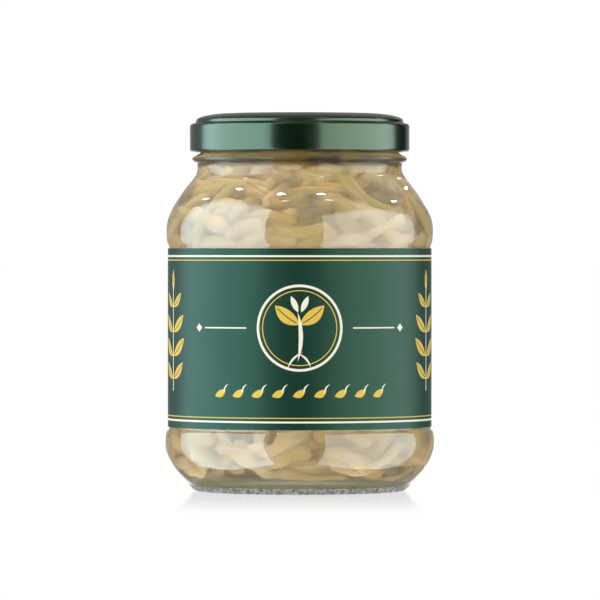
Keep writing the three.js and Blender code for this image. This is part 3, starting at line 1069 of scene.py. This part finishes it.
SEED = 13
SPROUT_DEPTH = 4.4  # from the glass to the sprouts that the solid heap holds
STEM_R = 1.7
STEM_RADII = (1.3, 2.5)  # of the sprouts that are added
HEAP_TOP_Z = 95.5
WALL_SPROUTS = 28
TOP_SPROUTS = 6
LINKS = 15  # steps in each sprout's lane
FINE_STEPS = 12
STEM_SIDES = 7
CLEAR = 0.12  # least room between a sprout and the glass
CLOSE = 0.54  # how near two sprouts lie, of their radii together
SHOVE = (0.42, 0.8)  # share of an overlap that a sprout gives way, to a loose and to a fixed one
SETTLE_ROUNDS = 16
FLATTEST = (0.3, 0.48)  # how thick a pressed sprout is, of its width
HEADED = 0.05  # share of the added sprouts that have seed leaves
BEAN = (3.6, 2.35, 1.75)  # half a seed leaf's length, width and thickness
BEAN_INNER = 0.22  # how thick its inner side stays
LEAF_ROOM = 2.2  # from the glass to the middle of a seed leaf
LEAF_AHEAD = 1.6  # from the head of the stem to the middle of its leaves
LEAF_APART = 0.3
COATS = 14
COAT_ROOM = 1.9  # least depth of a seed coat behind the glass
COAT_THICK = 0.22
MIDDLE_DEPTH = 4.4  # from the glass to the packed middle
MIDDLE_CELL = 2.5  # longest step along its outline
MIDDLE_SWELL = 0.05  # how much its waves widen it
WALL_LAYERS = (  # seed, count, depth from the glass, lengths and heights
    (101, 160, 1.4, (14, 34), (66, HEAP_TOP_Z + 2)),
    (202, 130, 3.2, (20, 42), (62, HEAP_TOP_Z + 1)),
    (303, 105, 1.4, (14, 32), (7, 27)),
    (404, 85, 3.2, (20, 40), (7, 27)),
    (505, 60, 2.0, (26, 44), (24, 70)),
    (808, 34, 1.5, (12, 24), (91, HEAP_TOP_Z + 3)),
    (909, 30, 4.0, (12, 26), (90, HEAP_TOP_Z + 2)),
)
FLAT_LAYERS = (  # seed, count, distance from the axis, height and length
    (606, 60, 26, FLOOR_Z + 1.2, 24),
    (707, 26, 22, HEAP_TOP_Z + 0.5, 24),
)


class Draws:
    """The small repeatable random numbers that also place the solid sprouts."""

    def __init__(self, seed):
        self.state = seed

    def next(self):
        whole = 0xFFFFFFFF
        self.state = (self.state + 0x6D2B79F5) & whole
        s = self.state
        t = ((s ^ (s >> 15)) * (1 | s)) & whole
        t = ((t + (((t ^ (t >> 7)) * (61 | t)) & whole)) & whole) ^ t
        return (t ^ (t >> 14)) / 4294967296

    def spread(self, low, high):
        return low + (high - low) * self.next()


def wall_lanes(draws, count, depth, lengths, band):
    """Sprouts that lie against the glass in lazy bends, at one depth and in one band of heights."""
    outline = inset(INSIDE, depth)
    lowest, highest = outline[-1][1] + 0.1, HEAP_TOP_Z + 2
    bottom = max(band[0], lowest)
    lanes = []
    for i in range(count):
        z = bottom + (band[1] - bottom) * ((i + 0.5) / count)
        length = draws.spread(*lengths)
        tilt = draws.spread(-1, 1) * 1.15 * (1 if draws.next() < 0.75 else 0.3)
        bend = draws.spread(-5, 5)
        flip = -1 if draws.next() < 0.5 else 1
        points = []
        for k in range(5):
            s = (k / 4 - 0.5) * flip
            sag = bend * (1 - 4 * s * s)
            up = z + s * length * math.sin(tilt) + sag * math.cos(tilt)
            height = min(max(up, lowest), highest)
            r = radius_at(outline, height)
            turn = i * GOLDEN + (s * length * math.cos(tilt) - sag * math.sin(tilt)) / r
            points.append(around(r, turn, height))
        lanes.append(points)
    return lanes


def solid_lanes():
    """The sprouts that the solid heap holds, at their places there."""
    draws = Draws(SEED)
    bottom = inset(INSIDE, SPROUT_DEPTH)[-1][1] + 0.1 + 1
    lanes = wall_lanes(draws, WALL_SPROUTS, SPROUT_DEPTH, (30, 46), (bottom, HEAP_TOP_Z + 1))
    return lanes + [top_lane(draws, i, TOP_SPROUTS) for i in range(TOP_SPROUTS)]


def top_lane(draws, i, count):
    """Points of a sprout that lies across the top of the heap, its head raised."""
    turn = i * FULL_TURN / count + draws.spread(-0.3, 0.3)
    off = draws.spread(-9, 9)
    length = draws.spread(24, 32)
    lift = draws.spread(5.5, 9)
    points = []
    for k in range(5):
        s = k / 4
        spot = Vector((20 - s * length, off * (1 - 0.6 * s), HEAP_TOP_Z - 0.5 + lift * s * s))
        points.append(Matrix.Rotation(turn, 3, "Z") @ spot)
    return points


def spline(points, steps):
    """Even steps along a smooth curve through the points."""
    dense = []
    padded = [points[0] * 2 - points[1], *points, points[-1] * 2 - points[-2]]
    for a, b, c, d in zip(padded, padded[1:], padded[2:], padded[3:]):
        square, cube = 2 * a - 5 * b + 4 * c - d, 3 * b - a - 3 * c + d
        for k in range(12):
            t = k / 12
            dense.append(0.5 * (2 * b + (c - a) * t + square * t * t + cube * t**3))
    dense.append(points[-1].copy())
    walked = [0.0]
    for a, b in zip(dense, dense[1:]):
        walked.append(walked[-1] + (b - a).length)
    even, j = [], 0
    for k in range(steps + 1):
        want = walked[-1] * k / steps
        while j < len(walked) - 2 and walked[j + 1] < want:
            j += 1
        span = max(walked[j + 1] - walked[j], 1e-9)
        even.append(dense[j].lerp(dense[j + 1], (want - walked[j]) / span))
    return even


def flat_lanes(draws, count, reach, z, length):
    """Sprouts that lie across the jar, on its floor or on top of the heap."""
    lanes = []
    for i in range(count):
        off = reach * math.sqrt((i + 0.5) / count)
        bend = draws.spread(-4, 4)
        heading = Matrix.Rotation(draws.spread(0.9, 2.2), 3, "Z")
        rise = draws.spread(-0.8, 0.8)
        points = []
        for k in range(5):
            s = k / 4 - 0.5
            spot = heading @ Vector((s * length, bend * (1 - 4 * s * s), 0))
            spot += Vector((off, 0, z + rise * s))
            points.append(Matrix.Rotation(i * GOLDEN, 3, "Z") @ spot)
        lanes.append(points)
    return lanes


def settle_heap(lanes, radii, held):
    """Pushes sprouts apart where they cross and keeps them off the glass."""
    walls = {radius: inset(jar_inside(2), radius * FLATTEST[1] + CLEAR) for radius in set(radii)}
    for _ in range(SETTLE_ROUNDS):
        tree = KDTree(len(lanes) * (LINKS + 1))
        for i, lane in enumerate(lanes):
            for k, point in enumerate(lane):
                tree.insert(point, i * (LINKS + 1) + k)
        tree.balance()
        for i in range(held, len(lanes)):
            moved = []
            for point in lanes[i]:
                push = Vector((0, 0, 0))
                for other, index, gap in tree.find_range(point, (radii[i] + STEM_RADII[1]) * CLOSE):
                    j = index // (LINKS + 1)
                    room = (radii[i] + radii[j]) * CLOSE - gap
                    if j != i and room > 0 and gap >= 1e-6:
                        push += (point - other) * (room / gap) * SHOVE[j < held]
                moved.append(point + push)
            softened = (soften(moved, k) for k in range(LINKS + 1))
            lanes[i] = [kept_inside(point, walls[radii[i]], radii[i]) for point in softened]
    for lane, radius in zip(lanes[held:], radii[held:]):
        lane[:] = [clear_of_bubbles(point, radius) for point in lane]


def clear_of_bubbles(point, radius):
    """Moves a point of a sprout inwards where a large bubble sits in front of it."""
    for centre, size in LARGE_BUBBLES:
        away = (point - centre).length
        if away < size + 2.2:
            side = point.xy.length
            most = centre.xy.length - size * BUBBLE_FLAT - radius * FLATTEST[1] - 0.3
            if side > most:
                return Vector((point.x * most / side, point.y * most / side, point.z))
    return point


def soften(lane, k):
    if k in (0, LINKS):
        return lane[k]
    return lane[k] * 0.6 + (lane[k - 1] + lane[k + 1]) * 0.2


def kept_inside(point, wall, radius):
    low = FLOOR_Z + radius * FLATTEST[1] + 0.1
    z = max(point.z, low)
    r = math.hypot(point.x, point.y)
    most = radius_at(wall, z)
    if r > most:
        return Vector((point.x * most / r, point.y * most / r, z))
    return Vector((point.x, point.y, z))


def outward(point):
    """The way to what is nearest: the glass at the side, the floor or the open top."""
    side = Vector((point.x, point.y, 0))
    wall = max(radius_at(INSIDE, point.z) - side.length, 0.5)
    ground = max(point.z - FLOOR_Z, 0.5)
    above = max(HEAP_TOP_Z + 6 - point.z, 0.5)
    rise = Vector((0, 0, 1 / above**2 - 1 / ground**2))
    return (side.normalized() / wall**2 + rise).normalized()


def tube(lane, radius_of, sides, places, faces, numbers, tint, flat):
    """Adds one closed tube along a lane, with its numbers, to the lists."""
    base = len(places)
    last = len(lane) - 1
    for k, point in enumerate(lane):
        tangent = (lane[min(k + 1, last)] - lane[max(k - 1, 0)]).normalized()
        side = tangent.cross(outward(point)).normalized()
        up = side.cross(tangent)
        radius = radius_of(k / last)
        for j in range(sides):
            turn = FULL_TURN * j / sides
            edge = side * math.cos(turn) * radius + up * math.sin(turn) * radius * flat
            places.append(point + edge)
            numbers["along"].append(k / last)
            numbers["tint"].append(tint)
            numbers["across"].append(math.cos(turn))
    for k in range(last):
        for j in range(sides):
            a = base + k * sides + j
            b = base + k * sides + (j + 1) % sides
            faces.append((a, b, b + sides, a + sides))
    faces.append(tuple(base + j for j in reversed(range(sides))))
    faces.append(tuple(base + last * sides + j for j in range(sides)))


def stem_profile(radius, root_share, waist):
    """Thin at the root's tip, full along the stem, rounded off at the other end."""

    def radius_of(t):
        if t < root_share:
            return radius * (0.16 + 0.84 * math.sin(t / root_share * math.pi / 2) ** 1.3)
        if t > 0.94:
            return radius * math.sqrt(max(1 - ((t - 0.94) / 0.063) ** 2, 0.02))
        swell = 0.13 * math.sin(t * 7 + waist) + 0.1 * math.sin(t * 17 + 2 * waist)
        return radius * (0.97 + swell)

    return radius_of


def sprout_stems(lanes, radii, chance, material):
    places, faces = [], []
    numbers = {"along": [], "tint": [], "across": []}
    for lane, radius in zip(lanes, radii):
        blunt = chance.random() < 0.45
        root_share = 0.05 if blunt else chance.uniform(0.15, 0.4)
        profile = stem_profile(radius, root_share, chance.uniform(0, 6))
        flat = chance.uniform(*FLATTEST)
        fine = spline(lane[::3], FINE_STEPS)
        tube(fine, profile, STEM_SIDES, places, faces, numbers, chance.random(), flat)
    mesh = bpy.data.meshes.new("sprout_stems")
    mesh.from_pydata([p * MM for p in places], [], faces)
    marked(mesh, **numbers)
    stems = bpy.data.objects.new("sprout_stems", mesh)
    bpy.context.scene.collection.objects.link(stems)
    return dressed(stems, 60, material)


def half_bean(material):
    """One seed leaf: a small ball pulled long, its inner side pressed flat."""
    bpy.ops.mesh.primitive_uv_sphere_add(segments=14, ring_count=8, radius=1)
    bean = bpy.context.object
    bean.scale = BEAN
    settle(bean)
    for point in bean.data.vertices:
        if point.co.z < 0:
            point.co.z *= BEAN_INNER
        point.co.z -= 0.035 * point.co.x**2
        point.co.y *= 1 - 0.05 * point.co.x
    bean.data.transform(Matrix.Scale(MM, 4))
    return dressed(bean, 60, material)


def seed_leaves(lanes, chance, material):
    """A pair of seed leaves at the head of each sprout given."""
    model = half_bean(material)
    wall = inset(jar_inside(2), LEAF_ROOM)
    copies = []
    for lane in lanes:
        head, neck = lane[-1], lane[-3]
        ahead = (head - neck).normalized()
        side = ahead.cross(Vector((head.x, head.y, 0.01))).normalized()
        side = (Matrix.Rotation(chance.uniform(-0.8, 0.8), 3, ahead) @ side).normalized()
        up = side.cross(ahead)
        gape = chance.uniform(0.05, 0.22)
        middle = kept_inside(head + ahead * LEAF_AHEAD, wall, LEAF_ROOM / FLATTEST[1])
        for way in (-1, 1):
            out = (up * way).normalized()
            tilt = Matrix.Rotation(gape * way, 3, side)
            axes = Matrix((tilt @ ahead, tilt @ out.cross(ahead), tilt @ out)).transposed()
            copy = model.copy()
            copy.data = model.data.copy()
            centre = (middle + out * LEAF_APART) * MM
            copy.matrix_world = Matrix.Translation(centre) @ axes.to_4x4()
            bpy.context.scene.collection.objects.link(copy)
            copies.append(copy)
    bpy.data.objects.remove(model)
    return joined("sprout_seed_leaves", copies)


def seed_coats(chance, material):
    """Loose seed coats between the sprouts: thin half shells."""
    coats = []
    wall = inset(INSIDE, COAT_ROOM)
    for i in range(COATS):
        bpy.ops.mesh.primitive_uv_sphere_add(segments=12, ring_count=8, radius=MM)
        coat = bpy.context.object
        with editing(coat):
            bpy.ops.mesh.bisect(plane_co=(0, 0, 0.0002), plane_no=(0, 0.2, 1), clear_inner=True)
        skin = coat.modifiers.new("skin", "SOLIDIFY")
        skin.thickness = COAT_THICK * MM
        applied(coat, skin)
        z = chance.uniform(9, 95)
        r = radius_at(wall, z) - chance.uniform(0.2, 2.6)
        turn = i * GOLDEN * 1.7 + chance.uniform(-0.4, 0.4)
        coat.location = around(r, turn, z) * MM
        coat.rotation_euler = [chance.uniform(0, FULL_TURN) for _ in range(3)]
        coat.scale = (chance.uniform(1.4, 2.0), chance.uniform(1.0, 1.4), 1.1)
        coats.append(dressed(coat, 50, material))
    return joined("seed_coats", coats)


def heap_middle(material):
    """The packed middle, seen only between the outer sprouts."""
    top, floor_z = HEAP_TOP_Z - 0.5, FLOOR_Z + 3.0
    wall = [p for p in inset(jar_inside(2), MIDDLE_DEPTH) if 17 < p[1] < top - 1]
    first, last = wall[0], wall[-1]
    upper = Outline(0, top).curve(4, (first[0] * 0.7, top), first)
    lower = Outline(*last).curve(5, (last[0], floor_z), (25, floor_z)).line(0, floor_z)
    outline = upper.points + wall[1:] + lower.points[1:]
    fine = []
    for (r0, z0), (r1, z1) in zip(outline, outline[1:]):
        cuts = max(1, round(math.hypot(r1 - r0, z1 - z0) / MIDDLE_CELL))
        fine += [(r0 + (r1 - r0) * k / cuts, z0 + (z1 - z0) * k / cuts) for k in range(cuts)]
    middle = turned("packed_middle", fine + [outline[-1]], 120)
    chance = random.Random(5)
    waves = [
        (chance.randint(5, 16), chance.uniform(-0.35, 0.35), chance.uniform(0, 6)) for _ in range(9)
    ]
    for point in middle.data.vertices:
        _, turn, z = polar(point.co)
        swell = sum(math.sin(turn * n + z * k + start) for n, k, start in waves) / len(waves)
        widened(point.co, 1 + MIDDLE_SWELL * swell)
    return dressed(middle, 80, material)


# ---- studio -------------------------------------------------------------------------------


def glow(name, color, strength, ends=None):
    """A light. A card's may be weaker towards either end, and fades at its upper edge."""
    material = bpy.data.materials.new(name)
    material.use_nodes = True
    nodes = Nodes(material.node_tree)
    nodes.tree.nodes.clear()
    light = nodes.node("ShaderNodeEmission", Color=color, Strength=strength)
    if ends:
        across, up, _ = nodes.parts(nodes.node("ShaderNodeTexCoord").outputs["Object"])
        level = across.fade(-0.5, -0.1, (ends[1], 1.0)) * across.fade(0.1, 0.5, (1.0, ends[0]))
        nodes.feed(light.inputs["Strength"], level * up.fade(0.4, 0.52, (1.0, 0.0)) * strength)
    nodes.node("ShaderNodeOutputMaterial", Surface=light.outputs[0])
    return material


def seen_only_in_gloss(obj):
    obj.visible_camera = False
    obj.visible_diffuse = False
    obj.visible_transmission = False
    obj.visible_shadow = False
    obj.visible_volume_scatter = False


CARD_AWAY = 1.2


def way_to(bearing, height=0.0):
    """A direction from the jar: its bearing from the camera's side and its height, in degrees."""
    rise = math.radians(height)
    return around(math.cos(rise), math.radians(bearing - 90), math.sin(rise))


def studio_card(name, facing, bearings, heights, strength, color=WHITE, ends=(1.0, 1.0)):
    """A flat card square to one bearing, reaching from one bearing to another."""
    start, end = (CARD_AWAY * math.tan(math.radians(b - facing)) for b in bearings)
    centre = way_to(facing) * CARD_AWAY + way_to(facing + 90) * (start + end) / 2
    centre.z = sum(heights) / 2
    bpy.ops.mesh.primitive_plane_add(size=1, location=centre)
    card = bpy.context.object
    card.name = name
    card.rotation_mode = "QUATERNION"
    card.rotation_quaternion = (way_to(facing) * -1).to_track_quat("Z", "Y")
    card.scale = (end - start, heights[1] - heights[0], 1)
    card.data.materials.append(glow(name, color, strength, ends))
    seen_only_in_gloss(card)


SPOTS = (  # small lamps: bearing, height and strength
    (-94, 55, 14),
    (-119, 37, 12),
    (-33, 67, 45),
    (-22, 62, 10),
    (38, 67, 60),
    (42, 60, 14),
    (117, 35, 40),
    (150, 21, 14),
)
SPOT_SPREAD = (2.4, 0.38)  # half its width and height, in degrees of the glass that mirrors it


def small_lamp(name, bearing, height, strength):
    """A lamp shaped so that a round shoulder mirrors it to the camera as a level, narrow spot."""
    camera_way = way_to(0)
    square = (way_to(bearing, height) + camera_way).normalized()
    turn, rise = math.atan2(square.y, square.x), math.asin(square.z)
    bpy.ops.mesh.primitive_circle_add(vertices=16, radius=1, fill_type="NGON")
    lamp = bpy.context.object
    lamp.name = name
    for point in lamp.data.vertices:
        a = turn + math.radians(SPOT_SPREAD[0] * point.co.x)
        b = rise + math.radians(SPOT_SPREAD[1] * point.co.y)
        facing = Vector((math.cos(a) * math.cos(b), math.sin(a) * math.cos(b), math.sin(b)))
        point.co = facing * 2 * facing.dot(camera_way) - camera_way + Vector((0, 0, 0.09))
    lamp.data.materials.append(glow(name, (1, 1, 0.97, 1), strength))
    seen_only_in_gloss(lamp)


ROOM = (1.05, -0.22, -0.72)  # the white room, and what diffuse and mirrored rays see less of it


def studio():
    bpy.context.scene.view_settings.view_transform = "Standard"
    world = bpy.data.worlds.new("white_room")
    world.use_nodes = True
    nodes = Nodes(world.node_tree)
    path = nodes.node("ShaderNodeLightPath")
    diffuse, glossy, through = nodes.fields(
        path, "Is Diffuse Ray", "Is Glossy Ray", "Is Transmission Ray"
    )
    mirrored = glossy * (through * -1.0 + 1.0)
    background = nodes.tree.nodes["Background"].inputs
    nodes.feed(background["Strength"], diffuse * ROOM[1] + mirrored * ROOM[2] + ROOM[0])
    nodes.feed(background["Color"], WHITE)
    bpy.context.scene.world = world
    bluish = (0.78, 1.0, 1.16, 1)
    neutral = (0.9, 1.0, 1.03, 1)
    studio_card("panel_left", -60, (-123, -30), (-1.75, 1.75), 5.6, bluish, (0.42, 1.0))
    studio_card("panel_right", 55, (21, 117), (-1.85, 1.3), 4.9, neutral, (0.8, 0.52))
    studio_card("wall_behind", 180, (164, 196), (-0.5, 0.3), 1.3)
    studio_card("flag_front", 0, (-30, 21), (-1.3, 0.9), 0.01)
    studio_card("flag_right", 132, (120, 147), (-0.4, 0.7), 0.02)
    for k, spot in enumerate(SPOTS):
        small_lamp(f"small_lamp_{k}", *spot)
    for place, power in (((0, -0.25, 1.1), 3.0), ((-1.1, -0.45, 0.4), 4.0)):
        bpy.ops.object.light_add(type="AREA", location=place)
        lamp = bpy.context.object
        lamp.rotation_mode = "QUATERNION"
        lamp.rotation_quaternion = Vector(place).to_track_quat("Z", "Y")
        lamp.data.shape = "DISK"
        lamp.data.size = 0.9
        lamp.data.energy = power
        lamp.visible_glossy = False
        lamp.visible_camera = False


FLOOR_SHINE = (20.0, 190.0, 0.36)  # full at one distance, none at the other, and its share


def floor():
    """A white light table, with a faint gloss round the jar that fades away from it."""
    bpy.ops.mesh.primitive_plane_add(size=40)
    ground = bpy.context.object
    ground.name = "floor"
    finish = Finish("floor_white", IOR=1.01, Emission_Color=WHITE, Emission_Strength=0.93)
    place = finish.place()
    haze = finish.noise(place, 0.02, 2.0)
    color = finish.mixed(haze, (0.09, 0.09, 0.09, 1), (0.1, 0.1, 0.1, 1))
    ground.data.materials.append(finish.looks(color, haze * 0.1 + 0.8))
    reach = finish.node("ShaderNodeVectorMath")
    reach.operation = "LENGTH"
    finish.feed(reach.inputs[0], place)
    (away,) = finish.fields(reach, "Value")
    (seen,) = finish.fields(finish.node("ShaderNodeLightPath"), "Is Camera Ray")
    near, far, share = FLOOR_SHINE
    shine = away.fade(near, far, (share, 0.0)) * seen
    gloss = finish.node("ShaderNodeBsdfGlossy", Roughness=0.08).outputs[0]
    finish.feed(finish.out["Surface"], finish.blend(shine, finish.shader.outputs[0], gloss))
    ground.visible_glossy = False


CAMERA_AWAY = 1.76
CAMERA_HIGH = 0.0727
CAMERA_AIM = 0.0572
LENS = 352


def camera():
    data = bpy.data.cameras.new("camera")
    data.lens = LENS
    data.sensor_width = 36
    data.clip_end = 20
    obj = bpy.data.objects.new("camera", data)
    bpy.context.scene.collection.objects.link(obj)
    obj.location = (0.0001, -CAMERA_AWAY, CAMERA_HIGH)
    aim = Vector((0.0001, 0, CAMERA_AIM)) - obj.location
    obj.rotation_euler = aim.to_track_quat("-Z", "Y").to_euler()
    bpy.context.scene.camera = obj


# ---- assembly -----------------------------------------------------------------------------


def put(obj, body, slot, *nodes):
    """Hangs a piece on its body and hides the CAD nodes it stands for. The slot is not used."""
    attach(obj, body)
    if nodes:
        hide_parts(*nodes)


def build_heap():
    chance = random.Random(SEED)
    lanes = solid_lanes()
    held = len(lanes)
    for seed, *layer in WALL_LAYERS:
        lanes += wall_lanes(Draws(seed), *layer)
    for seed, *layer in FLAT_LAYERS:
        lanes += flat_lanes(Draws(seed), *layer)
    lanes = [spline(lane, LINKS) for lane in lanes]
    radii = [STEM_R] * held
    radii += [round(chance.uniform(*STEM_RADII), 1) for _ in lanes[held:]]
    settle_heap(lanes, radii, held)
    headed = lanes[:held] + [lane for lane in lanes[held:] if chance.random() < HEADED]
    put(sprout_stems(lanes, radii, chance, sprout_flesh()), "jar", "sprout_flesh", "sprouts")
    put(seed_leaves(headed, chance, seed_leaf()), "jar", "sprout_flesh")
    put(seed_coats(chance, seed_coat()), "jar", "sprout_flesh")
    put(heap_middle(packed_middle()), "jar", "sprout_flesh")


def build():
    put(glass_jar(clear_glass(), stippled_glass()), "jar", "glass", "glass_jar")
    put(brine_body(brine_liquid()), "jar", "brine", "brine")
    put(label_band(printed_paper(), paper_edge()), "jar", "label_paper", "label")
    put(steel_cap(green_enamel(), inner_lacquer()), "cap", "green_enamel", "lid")
    put(air_bubbles(air_bubble()), "jar", "brine")
    build_heap()
    ring = bpy.data.objects["lid_gasket"]
    ring.data.materials.clear()
    ring.data.materials.append(sealing_compound())


build()
floor()
studio()
camera()
